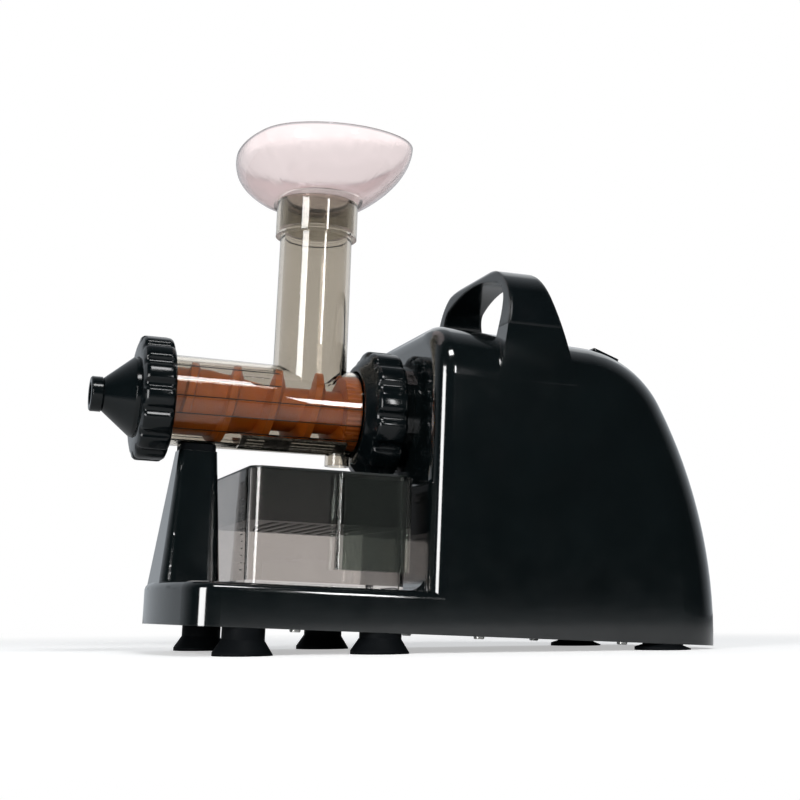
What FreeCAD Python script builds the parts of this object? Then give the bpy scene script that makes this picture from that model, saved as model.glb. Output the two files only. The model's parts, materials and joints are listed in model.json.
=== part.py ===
"""Cold press juicer with a horizontal auger, stood on a floor.

The juicer is drawn in its own frame: x runs along the barrel from the pulp
nozzle to the motor, z runs up the feed chute, and the barrel axis meets the
chute axis at zero. MACHINE then stands it on the floor, leaned back by the
taller feet at the nozzle end. All sizes are in millimetres.
"""
import FreeCAD, Part
import math
import os
import Sketcher

SIZES = [
    ("barrel_od", 60.0, "outside of the auger barrel at its open end"),
    ("barrel_end_od", 57.5, "outside of the barrel at its drive end"),
    ("barrel_bore", 53.0, "bore of the barrel"),
    ("barrel_reach", 112.0, "chute axis to the barrel's open end"),
    ("seat_reach", 44.0, "chute axis to the barrel's seat on the drive boss"),
    ("flange_depth", 6.0, "depth of the barrel's drive flange"),
    ("flange_od", 72.0, "outside of the drive flange and the drive boss"),
    ("chute_od", 50.0, "outside of the feed chute"),
    ("chute_top_od", 48.8, "outside of the feed chute under its collar"),
    ("chute_bore", 43.0, "bore of the feed chute"),
    ("collar_od", 55.4, "outside of the chute's collar"),
    ("collar_low", 119.8, "barrel axis to the collar's lower edge"),
    ("collar_top", 144.0, "barrel axis to the collar's upper edge"),
    ("spout_od", 17.0, "outside of the juice spout"),
    ("spout_bore", 13.0, "bore of the juice spout"),
    ("spout_shift", 22.0, "chute axis to the spout axis"),
    ("spout_drop", 36.0, "barrel axis to the spout's lower end"),
    ("running_fit", 0.08, "radial clearance of what turns"),
    ("slip_fit", 0.3, "clearance of what lifts out or is pushed in"),
    ("screen_length", 72.0, "length of the juice screen"),
    ("screen_wall", 1.5, "thickness of the juice screen"),
    ("screen_shift", -12.0, "chute axis to the middle of the screen"),
    ("screen_row", 3.0, "pitch of the rows of slots in the screen"),
    ("slot_width", 1.2, "width of a slot in the screen"),
    ("auger_od", 52.0, "outside of the auger's flight"),
    ("auger_core", 29.0, "core of the auger at its drive end"),
    ("auger_root", 44.0, "core of the auger at its open end"),
    ("auger_swell", 70.0, "chute axis to where the core has grown to its open end's size"),
    ("auger_waist", 30.0, "chute axis to where the core starts to grow"),
    ("auger_gap", 3.0, "barrel's open end to the auger's end"),
    ("flight_gap", 19.0, "barrel's open end to where the flight starts"),
    ("auger_pitch", 28.0, "lead of the auger's flight"),
    ("auger_turn", 115.0, "turn of the auger at rest, in degrees"),
    ("flight_width", 4.5, "width of the flight at its crest"),
    ("flight_flank", 4.0, "slope of the flight's flank over its height"),
    ("hex_width", 12.0, "width over flats of the drive hexagon"),
    ("nut_od", 82.2, "end nut over its grips"),
    ("nut_body_od", 76.0, "end nut between its grips"),
    ("nut_overhang", 4.0, "barrel's open end to the end nut's outer face"),
    ("nut_width", 21.4, "width of the end nut"),
    ("nut_lip", 3.0, "depth of the nut's lip over the cone"),
    ("cone_od", 53.0, "outside of the end cone at the nut"),
    ("cone_tip_od", 21.5, "outside of the end cone at the nozzle"),
    ("cone_length", 25.2, "barrel's open end to the small end of the cone"),
    ("nozzle_od", 22.8, "outside of the pulp nozzle"),
    ("nozzle_bore", 15.0, "bore of the pulp nozzle"),
    ("nozzle_length", 8.0, "small end of the cone to the nozzle's mouth"),
    ("lock_od", 90.0, "lock nut over its grips"),
    ("lock_body_od", 84.0, "lock nut between its grips"),
    ("lock_left", 37.0, "chute axis to the lock nut's grips"),
    ("lock_width", 21.5, "width of the lock nut's grips"),
    ("skirt_length", 6.0, "length of the lock nut's tapered skirt"),
    ("boss_reach", 64.0, "chute axis to the housing's left face"),
    ("bowl_half_width", 58.0, "middle of the hopper bowl to its rim along the barrel"),
    ("bowl_half_depth", 76.0, "middle of the hopper bowl to its rim across the barrel"),
    ("bowl_rise", 36.0, "hopper floor to rim"),
    ("bowl_shift", 4.0, "chute axis to the middle of the bowl's rim, along the barrel"),
    ("bowl_back", 8.0, "chute axis to the middle of the bowl's rim, towards the back"),
    ("hopper_wall", 2.2, "wall of the hopper"),
    ("neck_length", 20.0, "length of the hopper's neck in the collar"),
    ("housing_top", 57.5, "barrel axis to the housing's top at its left face"),
    ("shoulder_x", 176.0, "chute axis to where the back starts to fall"),
    ("shoulder_z", 52.0, "barrel axis to the top at the shoulder"),
    ("haunch_x", 234.0, "chute axis to the haunch"),
    ("haunch_z", 17.0, "barrel axis to the haunch"),
    ("rear_x", 278.0, "chute axis to the housing's rear foot"),
    ("deck_width", 162.0, "width of the base and the housing"),
    ("base_low", 145.5, "barrel axis down to the base's lower edge"),
    ("base_high", 118.5, "barrel axis down to the top of the base"),
    ("side_round", 36.0, "rounding of the housing's long edges"),
    ("face_round", 12.0, "rounding around the housing's left face"),
    ("shell_wall", 3.0, "wall of the housing"),
    ("base_left", 68.0, "chute axis to where the base's front corner starts"),
    ("corner_x", 89.5, "chute axis to the end of that corner"),
    ("corner_inset", 15.6, "side of the base to the end of that corner"),
    ("deck_round", 5.5, "rounding of the base's upper edge"),
    ("web_round", 11.0, "hollow fillet from the housing down to the base"),
    ("post_left", 97.0, "chute axis to the post's foot, outer side"),
    ("post_right", 58.5, "chute axis to the post's foot, inner side"),
    ("post_depth", 64.0, "depth of the post's foot"),
    ("post_top_left", 86.5, "chute axis to the post's top, outer side"),
    ("post_top_right", 61.5, "chute axis to the post's top, inner side"),
    ("post_top_depth", 24.0, "depth of the post's top"),
    ("saddle_thick", 2.7, "rubber saddle between the barrel and the post"),
    ("saddle_hold", 1.7, "how far the saddle rises beside the barrel"),
    ("handle_left", 105.0, "chute axis to the handle's foot, left side"),
    ("handle_right", 161.0, "chute axis to the handle's foot, right side"),
    ("grip_left", 115.5, "chute axis to the handle's grip, left side"),
    ("grip_right", 141.5, "chute axis to the handle's grip, right side"),
    ("handle_top", 104.0, "barrel axis to the handle's top"),
    ("handle_thick", 10.0, "thickness of the handle's legs over the seam"),
    ("handle_seam", 58.0, "barrel axis to the seam between the handle and its legs"),
    ("handle_foot", 20.0, "barrel axis to the foot of the legs"),
    ("lean_angle", 2.63, "lean of the machine on its feet, in degrees"),
    ("stand_height", 159.88, "floor to the barrel axis under the chute"),
    ("foot_inset", 12.0, "side of the base to the feet's middle"),
    ("foot_stem", 26.5, "stem of a foot"),
    ("foot_flare", 37.0, "flare of a foot"),
    ("foot_flare_rise", 9.5, "height of the flare"),
    ("front_foot_x", 51.0, "chute axis back to the front feet"),
    ("middle_foot_x", 36.0, "chute axis to the middle feet"),
    ("rear_foot_x", 232.0, "chute axis to the rear feet"),
    ("jug_left", 50.5, "chute axis to the jug's left wall at the foot"),
    ("jug_right", 52.0, "chute axis to the jug's right wall at the foot"),
    ("jug_front", 69.0, "middle plane to the jug's front wall"),
    ("jug_back", 62.0, "middle plane to the jug's back wall"),
    ("jug_top", 47.5, "barrel axis down to the jug's rim"),
    ("jug_wall", 2.2, "wall of the jug"),
    ("jug_corner", 9.0, "corner of the jug"),
    ("jug_draft", 1.0, "draft of the jug's walls, in degrees"),
    ("grip_x0", 4.0, "chute axis to the jug grip's left side"),
    ("grip_x1", 49.0, "chute axis to the jug grip's right side"),
    ("grip_depth", 11.5, "how far the jug's grip stands out"),
    ("grip_low", 108.0, "barrel axis down to the grip's lower end"),
    ("sieve_depth", 32.0, "depth of the strainer basket"),
    ("sieve_wall", 1.6, "wall of the strainer basket"),
    ("first_module", 1.0, "module of the motor pinion's gears"),
    ("second_module", 1.25, "module of the output gears"),
    ("pinion_teeth", 12.0, "teeth of each pinion"),
    ("wheel_teeth", 48.0, "teeth of each wheel"),
    ("wheel_face", 9.0, "face width of the gears"),
    ("case_length", 38.0, "length of the gear case"),
    ("case_wall", 3.5, "wall of the gear case"),
    ("case_lid", 3.0, "thickness of the gear case's lid"),
    ("case_half", 36.5, "half the width of the gear case"),
    ("shaft_od", 19.0, "outside of the output shaft at its socket"),
    ("journal_od", 14.0, "outside of the output shaft at its inner bearing"),
    ("axle_od", 8.0, "idler axle and motor shaft"),
    ("motor_length", 70.0, "length of the motor's stator"),
    ("motor_od", 78.0, "outside of the stator"),
    ("rotor_od", 44.0, "outside of the rotor"),
    ("air_gap", 0.4, "gap between the rotor and the stator"),
    ("plate_thick", 5.0, "thickness of the motor's end plates"),
    ("coil_reach", 7.0, "how far the windings stand out of the stator"),
    ("fan_od", 66.0, "outside of the cooling fan"),
    ("cover_thick", 2.5, "thickness of the bottom cover"),
    ("screw_od", 3.4, "shank of the cover screws"),
    ("screw_length", 12.0, "depth of the cover screws in their bosses"),
    ("screw_boss_od", 10.0, "outside of the screw bosses"),
    ("screw_inset", 7.5, "side of the base to the cover screws"),
    ("screw_left", 20.0, "chute axis back to the first cover screws"),
    ("screw_middle", 100.0, "chute axis to the middle cover screws"),
    ("screw_rear", 200.0, "chute axis to the rear cover screws"),
    ("switch_x", 196.0, "chute axis to the power switch"),
    ("switch_y", 38.0, "middle plane to the power switch"),
    ("switch_width", 16.0, "width of the switch's opening"),
    ("switch_length", 20.0, "length of the switch's opening"),
    ("gland_drop", 70.0, "barrel axis down to the cord gland"),
    ("gland_y", 34.0, "middle plane to the cord gland"),
    ("gland_od", 16.0, "outside of the cord gland in the wall"),
    ("cord_od", 7.2, "bore of the cord gland"),
]

doc = FreeCAD.newDocument("juicer")
sheet = doc.addObject("Spreadsheet::Sheet", "sizes")
for row, (alias, number, meaning) in enumerate(SIZES, start=1):
    sheet.set("A%d" % row, meaning)
    sheet.set("B%d" % row, str(number))
    sheet.setAlias("B%d" % row, alias)
doc.recompute()


class Size:
    """A number together with the sheet expression that it comes from."""

    def __init__(self, mm, text):
        self.mm = float(mm)
        self.text = text

    def __add__(self, other):
        other = as_size(other)
        return Size(self.mm + other.mm, "(%s + %s)" % (self.text, other.text))

    def __radd__(self, other):
        return as_size(other) + self

    def __sub__(self, other):
        other = as_size(other)
        return Size(self.mm - other.mm, "(%s - %s)" % (self.text, other.text))

    def __rsub__(self, other):
        return as_size(other) - self

    def __mul__(self, other):
        other = as_size(other)
        return Size(self.mm * other.mm, "(%s * %s)" % (self.text, other.text))

    def __rmul__(self, other):
        return as_size(other) * self

    def __truediv__(self, other):
        other = as_size(other)
        return Size(self.mm / other.mm, "(%s / %s)" % (self.text, other.text))

    def __neg__(self):
        return as_size(0) - self


def as_size(value):
    return value if isinstance(value, Size) else Size(value, repr(value))


class Sheet:
    """Every named size as an attribute."""


s = Sheet()
for alias, number, meaning in SIZES:
    setattr(s, alias, Size(number, "sizes." + alias))

V = FreeCAD.Vector
NO_TURN = FreeCAD.Rotation()
LEAN = FreeCAD.Rotation(V(0, 1, 0), s.lean_angle.mm)


def bind(thing, prop, size):
    size = as_size(size)
    setattr(thing, prop, size.mm)
    thing.setExpression(prop, size.text)


# Where the machine stands

def leaned(x, z):
    """A point of the middle plane after the lean, before the shift."""
    return LEAN.multVec(V(x, 0, z))


nut_left = s.barrel_reach + s.nut_overhang
cone_reach = s.barrel_reach + s.cone_length
nozzle_reach = cone_reach + s.nozzle_length
nose = leaned(-nozzle_reach.mm, -s.nozzle_od.mm / 2).x
tail = leaned(s.rear_x.mm, -s.base_low.mm).x
CHUTE_X = -(nose + tail) / 2
MACHINE = FreeCAD.Placement(V(CHUTE_X, 0, s.stand_height.mm), LEAN)


def floor_z(x):
    """Height of the floor in the machine's frame, at a distance x."""
    lean = math.radians(s.lean_angle.mm)
    return math.tan(lean) * x - s.stand_height.mm / math.cos(lean)


# Bodies and sketches

parts = []


def keep(thing, label, x=0.0, y=0.0, z=0.0, turn=NO_TURN):
    """Names a finished sub-part and stands it in the machine."""
    thing.Label = label
    thing.Placement = MACHINE.multiply(FreeCAD.Placement(V(x, y, z), turn))
    parts.append(thing)
    return thing


def new_body(name):
    return doc.addObject("PartDesign::Body", name)


def datum(body, role):
    for feature in body.Origin.OriginFeatures:
        if feature.Role == role:
            return feature
    raise ValueError(role)


def sketch_on(body, name, plane, shift=0):
    """A sketch on a plane of the body, moved along the plane's normal."""
    sketch = body.newObject("Sketcher::SketchObject", name)
    sketch.AttachmentSupport = [(datum(body, plane + "_Plane"), "")]
    sketch.MapMode = "FlatFace"
    shift = as_size(shift)
    sketch.AttachmentOffset = FreeCAD.Placement(V(0, 0, shift.mm), NO_TURN)
    sketch.setExpression("AttachmentOffset.Base.z", shift.text)
    return sketch


def pin_point(sketch, geometry, position, x, y):
    """Ties a point of the sketch to its two coordinates."""
    for axis, kind, value in ((-2, "DistanceX", as_size(x)), (-1, "DistanceY", as_size(y))):
        if value.text in ("0", "0.0"):
            sketch.addConstraint(Sketcher.Constraint("PointOnObject", geometry, position, axis))
            continue
        row = sketch.addConstraint(
            Sketcher.Constraint(kind, -1, 1, geometry, position, value.mm))
        sketch.setExpression("Constraints[%d]" % row, value.text)


def outline(sketch, points):
    """A closed outline of lines and of arcs that leave the edge before them smoothly.

    Each point is (x, y), or (x, y, "arc") where an arc starts that is tangent
    to the edge that ends there.
    """
    corners = [(as_size(p[0]), as_size(p[1])) for p in points]
    bent = [len(p) > 2 for p in points]
    flat = [V(x.mm, y.mm, 0) for x, y in corners]
    count = len(points)
    ends = []
    direction = None
    for i in range(count):
        a, b = flat[i], flat[(i + 1) % count]
        if not bent[i]:
            sketch.addGeometry(Part.LineSegment(a, b))
            ends.append((1, 2))
            direction = (b - a).normalize()
            continue
        normal = V(-direction.y, direction.x, 0)
        chord = b - a
        radius = chord.dot(chord) / (2 * chord.dot(normal))
        centre = a + normal * radius
        circle = Part.Circle(centre, V(0, 0, 1), abs(radius))
        start = math.atan2(a.y - centre.y, a.x - centre.x)
        stop = math.atan2(b.y - centre.y, b.x - centre.x)
        if radius > 0:
            sketch.addGeometry(Part.ArcOfCircle(circle, start, stop))
            ends.append((1, 2))
            direction = V(-(b.y - centre.y), b.x - centre.x, 0).normalize()
        else:
            sketch.addGeometry(Part.ArcOfCircle(circle, stop, start))
            ends.append((2, 1))
            direction = V(b.y - centre.y, -(b.x - centre.x), 0).normalize()
    for i in range(count):
        before = (i - 1) % count
        kind = "Tangent" if bent[i] else "Coincident"
        sketch.addConstraint(Sketcher.Constraint(kind, before, ends[before][1], i, ends[i][0]))
    for i, (x, y) in enumerate(corners):
        pin_point(sketch, i, ends[i][0], x, y)
    return sketch


def circle_on(sketch, x, y, diameter):
    diameter = as_size(diameter)
    at = (as_size(x), as_size(y))
    row = sketch.addGeometry(
        Part.Circle(V(at[0].mm, at[1].mm, 0), V(0, 0, 1), diameter.mm / 2))
    pin_point(sketch, row, 3, *at)
    rule = sketch.addConstraint(Sketcher.Constraint("Diameter", row, diameter.mm))
    sketch.setExpression("Constraints[%d]" % rule, diameter.text)
    return sketch


def rounded(sketch, x0, x1, y0, y1, r):
    """A rectangle with rounded corners."""
    x0, x1, y0, y1, r = [as_size(v) for v in (x0, x1, y0, y1, r)]
    return outline(sketch, [
        (x0 + r, y0), (x1 - r, y0, "arc"), (x1, y0 + r), (x1, y1 - r, "arc"),
        (x1 - r, y1), (x0 + r, y1, "arc"), (x0, y1 - r), (x0, y0 + r, "arc")])


def pad(body, name, sketch, length, reverse=False, draft=0):
    feature = body.newObject("PartDesign::Pad", name)
    feature.Profile = sketch
    bind(feature, "Length", length)
    feature.Reversed = reverse
    if as_size(draft).mm:
        bind(feature, "TaperAngle", draft)
    sketch.Visibility = False
    return feature


def pocket(body, name, sketch, length, reverse=False, draft=0):
    feature = body.newObject("PartDesign::Pocket", name)
    feature.Profile = sketch
    bind(feature, "Length", length)
    feature.Reversed = reverse
    if as_size(draft).mm:
        bind(feature, "TaperAngle", draft)
    sketch.Visibility = False
    return feature


def spin(body, name, sketch, axis, cut=False):
    feature = body.newObject("PartDesign::Groove" if cut else "PartDesign::Revolution", name)
    feature.Profile = sketch
    feature.ReferenceAxis = (sketch, [axis])
    feature.Angle = 360.0
    return feature


def ring_pattern(body, name, feature, axis, count):
    pattern = body.newObject("PartDesign::PolarPattern", name)
    pattern.Originals = [feature]
    pattern.Axis = (datum(body, axis), [""])
    pattern.Angle = 360.0
    pattern.Occurrences = int(count)
    body.Tip = pattern
    return pattern


def row_pattern(body, name, feature, axis, length, count):
    pattern = body.newObject("PartDesign::LinearPattern", name)
    pattern.Originals = [feature]
    pattern.Direction = (datum(body, axis), [""])
    bind(pattern, "Length", length)
    pattern.Occurrences = int(count)
    body.Tip = pattern
    return pattern


def turned(label, profile, axis="H_Axis"):
    """A body turned about the barrel axis, or about the chute axis."""
    body = new_body(label)
    spin(body, label + "_turn", outline(sketch_on(body, label + "_profile", "XZ"), profile), axis)
    return body


def edges_of(shape, test):
    return ["Edge%d" % (i + 1) for i, edge in enumerate(shape.Edges) if test(edge)]


def fillet(body, name, feature, radius, test):
    doc.recompute()
    names = edges_of(feature.Shape, test)
    rounding = body.newObject("PartDesign::Fillet", name)
    rounding.Base = (feature, names)
    bind(rounding, "Radius", radius)
    return rounding


def joined(name, kind, *things):
    """A Part boolean: Fuse of several, or Cut of two."""
    if kind == "Part::MultiFuse":
        result = doc.addObject(kind, name)
        result.Shapes = list(things)
    else:
        result = doc.addObject(kind, name)
        result.Base, result.Tool = things
    return result


# The housing and its base

half_deck = s.deck_width / 2


def housing_outline(sketch, wall):
    """Side view of the motor housing, drawn in by a wall."""
    return outline(sketch, [
        (s.boss_reach + wall, -s.base_low),
        (s.boss_reach + wall, s.housing_top - wall),
        (s.shoulder_x, s.shoulder_z - wall, "arc"),
        (s.haunch_x - wall, s.haunch_z - wall * 0.5, "arc"),
        (s.rear_x - wall, -s.base_low)])


def housing_body(name, wall):
    """The housing's rounded block: wall 0 is its outside."""
    body = new_body(name)
    half = half_deck - wall
    profile = housing_outline(sketch_on(body, name + "_side", "XZ", -half), wall)
    block = pad(body, name + "_block", profile, 2 * half)
    reach = half_deck.mm - as_size(wall).mm
    left = s.boss_reach.mm + as_size(wall).mm

    def long_edge(edge):
        box = edge.BoundBox
        flat = box.YLength < 0.01 and abs(abs(box.Center.y) - reach) < 0.01
        return flat and box.XLength > 1 and box.ZMax > 20 - s.base_low.mm

    sides = fillet(body, name + "_sides", block, s.side_round - wall, long_edge)

    def face_edge(edge):
        box = edge.BoundBox
        return box.XLength < 0.01 and abs(box.XMax - left) < 0.01 and box.ZMax > 20 - s.base_low.mm

    fillet(body, name + "_face", sides, s.face_round - wall, face_edge)
    return body


def base_outline(sketch, wall, right):
    """Plan of the base, bowed at the nozzle end."""
    half = half_deck - wall
    return outline(sketch, [
        (right, -half), (-s.base_left, -half, "arc"),
        (-s.corner_x + wall, -corner_y + wall * 0.6, "arc"),
        (-s.corner_x + wall, corner_y - wall * 0.6, "arc"),
        (-s.base_left, half), (right, half)])


corner_y = half_deck - s.corner_inset
foot_y = half_deck - s.foot_inset
screw_y = half_deck - s.screw_inset
post_top = s.barrel_od / 2 + s.slip_fit + s.saddle_thick
base_right = s.boss_reach + s.face_round + 2
base_rise = s.base_low - s.base_high

deck = new_body("deck")
deck_block = pad(deck, "deck_block",
                 base_outline(sketch_on(deck, "deck_plan", "XY", -s.base_low), 0, base_right),
                 base_rise)
deck_edge = fillet(
    deck, "deck_edge", deck_block, s.deck_round,
    lambda edge: edge.BoundBox.ZLength < 0.01 and edge.BoundBox.ZMin > -s.base_high.mm - 0.01
    and edge.BoundBox.XMin < s.boss_reach.mm)

deck_room = new_body("deck_room")
pad(deck_room, "deck_hollow",
    base_outline(sketch_on(deck_room, "deck_hollow_plan", "XY", -s.base_low),
                 s.shell_wall, base_right), base_rise - s.shell_wall)

post = new_body("post")
post_foot = sketch_on(post, "post_foot", "XY", -s.base_high - s.shell_wall / 2)
rounded(post_foot, -s.post_left, -s.post_right, -s.post_depth / 2, s.post_depth / 2, 9)
post_head = sketch_on(post, "post_head", "XY", -post_top)
rounded(post_head, -s.post_top_left, -s.post_top_right,
        -s.post_top_depth / 2, s.post_top_depth / 2, 5)
post_loft = post.newObject("PartDesign::AdditiveLoft", "post_loft")
post_loft.Profile = post_foot
post_loft.Sections = [post_head]
post_loft.Ruled = True

# The hollow fillet where the housing's left face runs into the base
web = new_body("web")
web_face = outline(sketch_on(web, "web_face", "XZ", s.face_round - half_deck), [
    (s.boss_reach - s.web_round, -s.base_high), (s.boss_reach - s.web_round, -s.base_high - 1),
    (s.boss_reach + 1, -s.base_high - 1), (s.boss_reach + 1, -s.base_high + s.web_round),
    (s.boss_reach, -s.base_high + s.web_round)])
pad(web, "web_block", web_face, s.deck_width - 2 * s.face_round)
web_cutter = new_body("web_cutter")
pad(web_cutter, "web_round_block",
    circle_on(sketch_on(web_cutter, "web_circle", "XZ", -half_deck),
              s.boss_reach - s.web_round, -s.base_high + s.web_round, 2 * s.web_round),
    s.deck_width)
web_curve = joined("web_curve", "Part::Cut", web, web_cutter)


handle_in = half_deck - 11.5 - s.handle_thick
arch = new_body("handle_arch")
arch_front = outline(sketch_on(arch, "handle_front", "YZ", s.handle_left - 2), [
    (-half_deck, s.handle_foot), (-half_deck, s.handle_foot + 10, "arc"),
    (-half_deck + 11, s.handle_top - 25, "arc"),
    (-half_deck + 39, s.handle_top - 3.2, "arc"),
    (half_deck - 39, s.handle_top - 3.2, "arc"), (half_deck - 11, s.handle_top - 25, "arc"),
    (half_deck, s.handle_foot + 10), (half_deck, s.handle_foot),
    (handle_in, s.handle_foot), (handle_in, s.handle_top - 27, "arc"),
    (handle_in - 10, s.handle_top - 13.3, "arc"),
    (-handle_in + 10, s.handle_top - 13.3, "arc"),
    (-handle_in, s.handle_top - 27), (-handle_in, s.handle_foot)])
pad(arch, "handle_arch_block", arch_front, s.handle_right - s.handle_left + 4)
flare = new_body("handle_flare")
flare_side = outline(sketch_on(flare, "handle_side", "XZ", -half_deck), [
    (s.handle_left, s.handle_foot), (s.handle_right, s.handle_foot),
    (s.grip_right, s.handle_top - 8, "arc"), (s.grip_right - 10, s.handle_top),
    (s.grip_left + 5, s.handle_top, "arc"), (s.grip_left, s.handle_top - 5),
    (s.grip_left, s.handle_top - 20, "arc"), (s.handle_left + 8.2, s.handle_foot + 42)])
pad(flare, "handle_flare_block", flare_side, s.deck_width)
handle_sharp = joined("handle_sharp", "Part::Common", arch, flare)
above_seam = new_body("above_seam")
pad(above_seam, "above_seam_block",
    rounded(sketch_on(above_seam, "above_seam_plan", "XY", s.handle_seam),
            s.handle_left - 9, s.handle_right + 9, -half_deck - 9, half_deck + 9, 1),
    s.handle_top)
handle_legs = joined("handle_legs", "Part::Cut", handle_sharp, above_seam)
handle_over = joined("handle_over", "Part::Common", handle_sharp, above_seam)


drive_hole = new_body("drive_hole")
pad(drive_hole, "drive_hole_block",
    circle_on(sketch_on(drive_hole, "drive_hole_circle", "YZ", s.boss_reach - 2), 0, 0, 30),
    s.shell_wall + 4)
housing_outside = joined("housing_outside", "Part::MultiFuse",
                         housing_body("housing_block", 0), deck, post, web_curve, handle_legs)
housing_inside = joined("housing_inside", "Part::MultiFuse",
                        housing_body("housing_room", s.shell_wall), deck_room, drive_hole)
housing_shell = joined("housing_shell", "Part::Cut", housing_outside, housing_inside)


def back_arcs():
    """Centres and radii of the two arcs that the housing's back follows."""
    start = V(s.shoulder_x.mm, s.shoulder_z.mm, 0)
    along = (start - V(s.boss_reach.mm, s.housing_top.mm, 0)).normalize()
    arcs = []
    for end in (V(s.haunch_x.mm, s.haunch_z.mm, 0), V(s.rear_x.mm, -s.base_low.mm, 0)):
        normal = V(along.y, -along.x, 0)
        chord = end - start
        radius = chord.dot(chord) / (2 * chord.dot(normal))
        centre = start + normal * radius
        arcs.append((centre, radius))
        spoke = (end - centre).normalize()
        along = V(spoke.y, -spoke.x, 0)
        start = end
    return arcs


def on_back(arc, angle, y):
    """A place on the back, with its z axis out of the surface."""
    centre, radius = arc
    tilt = math.radians(angle)
    at = V(centre.x + radius * math.sin(tilt), y, centre.y + radius * math.cos(tilt))
    return FreeCAD.Placement(at, FreeCAD.Rotation(V(0, 1, 0), angle))


top_arc, rear_arc = back_arcs()
SWITCH = on_back(
    top_arc, math.degrees(math.asin((s.switch_x.mm - top_arc[0].x) / top_arc[1])),
    -s.switch_y.mm)
GLAND = on_back(
    rear_arc, math.degrees(math.acos((-s.gland_drop.mm - rear_arc[0].y) / rear_arc[1])),
    s.gland_y.mm)


def upright(name, x, y, z, diameter, length):
    """A plain round pin along z."""
    body = new_body(name)
    pad(body, name + "_block",
        circle_on(sketch_on(body, name + "_circle", "XY", z), x, y, diameter), length)
    return body


def switch_block(name, shrink, low, high):
    """A rounded block across the switch hole, in the switch's own frame."""
    body = new_body(name)
    pad(body, name + "_block",
        rounded(sketch_on(body, name + "_plan", "XY", low),
                shrink - s.switch_width / 2, s.switch_width / 2 - shrink,
                shrink - s.switch_length / 2, s.switch_length / 2 - shrink, 1.5), high - low)
    return body


screw_seat = -s.base_low + s.cover_thick
boss_top = s.base_low - s.base_high - s.cover_thick - s.shell_wall / 2
screw_places = [(x, side * screw_y) for x in (-s.screw_left, s.screw_middle, s.screw_rear)
                for side in (-1, 1)]
screw_bosses = [
    upright("screw_boss_%d" % (i + 1), x, y, screw_seat + 0.05, s.screw_boss_od, boss_top)
    for i, (x, y) in enumerate(screw_places)]
screw_pilots = [
    upright("screw_pilot_%d" % (i + 1), x, y, screw_seat, s.screw_od + 0.1, s.screw_length)
    for i, (x, y) in enumerate(screw_places)]
switch_hole = switch_block("switch_hole", 0, as_size(-12), as_size(8))
switch_hole.Placement = SWITCH
gland_hole = upright("gland_hole", 0, 0, -2 * s.shell_wall, s.gland_od, 4 * s.shell_wall)
gland_hole.Placement = GLAND
housing_bossed = joined("housing_bossed", "Part::MultiFuse", housing_shell, *screw_bosses)
housing_holes = joined("housing_holes", "Part::MultiFuse", switch_hole, gland_hole,
                       *screw_pilots)
main_housing = keep(joined("main_housing_cut", "Part::Cut", housing_bossed, housing_holes),
                    "main_housing")
keep(joined("handle_cut", "Part::Cut", handle_over, housing_outside), "carry_handle")

# The bottom cover fits inside the shell's lower edge
cover_gap = s.shell_wall + s.slip_fit / 2
cover_left = new_body("cover_left")
pad(cover_left, "cover_left_block",
    base_outline(sketch_on(cover_left, "cover_left_plan", "XY", -s.base_low), cover_gap,
                 base_right), base_rise - s.shell_wall)
cover_plan = joined("cover_plan", "Part::MultiFuse", housing_body("cover_right", cover_gap),
                    cover_left)
cover_slab = new_body("cover_slab")
pad(cover_slab, "cover_slab_block",
    rounded(sketch_on(cover_slab, "cover_slab_plan", "XY", -s.base_low),
            -2 * s.corner_x, 2 * s.rear_x, -s.deck_width, s.deck_width, 5), s.cover_thick)
vents = new_body("vents")
vent_start = s.rear_x - 78
vent = pad(vents, "vent",
           rounded(sketch_on(vents, "vent_plan", "XY", -s.base_low - 1),
                   vent_start, vent_start + 3, -30, 30, 1.4), s.cover_thick + 2)
row_pattern(vents, "vent_row", vent, "X_Axis", 48, 9)
cover_blank = joined("cover_blank", "Part::Common", cover_plan, cover_slab)
cover_holes = [
    upright("cover_hole_%d" % (i + 1), x, y, -s.base_low - 1, s.screw_od + 0.4,
            s.cover_thick + 2) for i, (x, y) in enumerate(screw_places)]
cover_cuts = joined("cover_cuts", "Part::MultiFuse", vents, *cover_holes)
keep(joined("bottom_cover_cut", "Part::Cut", cover_blank, cover_cuts), "bottom_cover")


def screw(name, x, y):
    body = new_body(name)
    profile = outline(sketch_on(body, name + "_profile", "XZ"), [
        (0, -s.base_low - 1.6), (s.screw_od * 0.8, -s.base_low - 1.6),
        (s.screw_od, -s.base_low - 1), (s.screw_od, -s.base_low),
        (s.screw_od / 2, -s.base_low), (s.screw_od / 2, screw_seat + s.screw_length - 1),
        (0, screw_seat + s.screw_length - 1)])
    spin(body, name + "_turn", profile, "V_Axis")
    body.Placement = FreeCAD.Placement(V(x.mm, y.mm, 0), NO_TURN)
    return body


screws = [screw("cover_screw_%d" % (i + 1), x, y) for i, (x, y) in enumerate(screw_places)]
keep(joined("cover_screws_group", "Part::MultiFuse", *screws), "cover_screws")


# Feet: turned, then cut level with the floor

floor_block = doc.addObject("Part::Box", "floor_block")
floor_block.Length = 1200
floor_block.Width = 1200
floor_block.Height = 60
floor_block.Placement = MACHINE.inverse().multiply(FreeCAD.Placement(V(-600, -600, -60), NO_TURN))


def foot(name, x, y, rise):
    """One foot; rise is the height of its flare."""
    low = floor_z(x.mm) - 1.5
    body = new_body(name)
    stem, flare = s.foot_stem / 2, s.foot_flare / 2
    profile = outline(sketch_on(body, name + "_profile", "XZ"), [
        (0, -s.base_low), (stem, -s.base_low), (stem, low + 1.5 + rise.mm),
        (flare, low + 3), (flare, low), (0, low)])
    spin(body, name + "_turn", profile, "V_Axis")
    body.Placement = FreeCAD.Placement(V(x.mm, y.mm, 0), NO_TURN)
    return body


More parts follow.
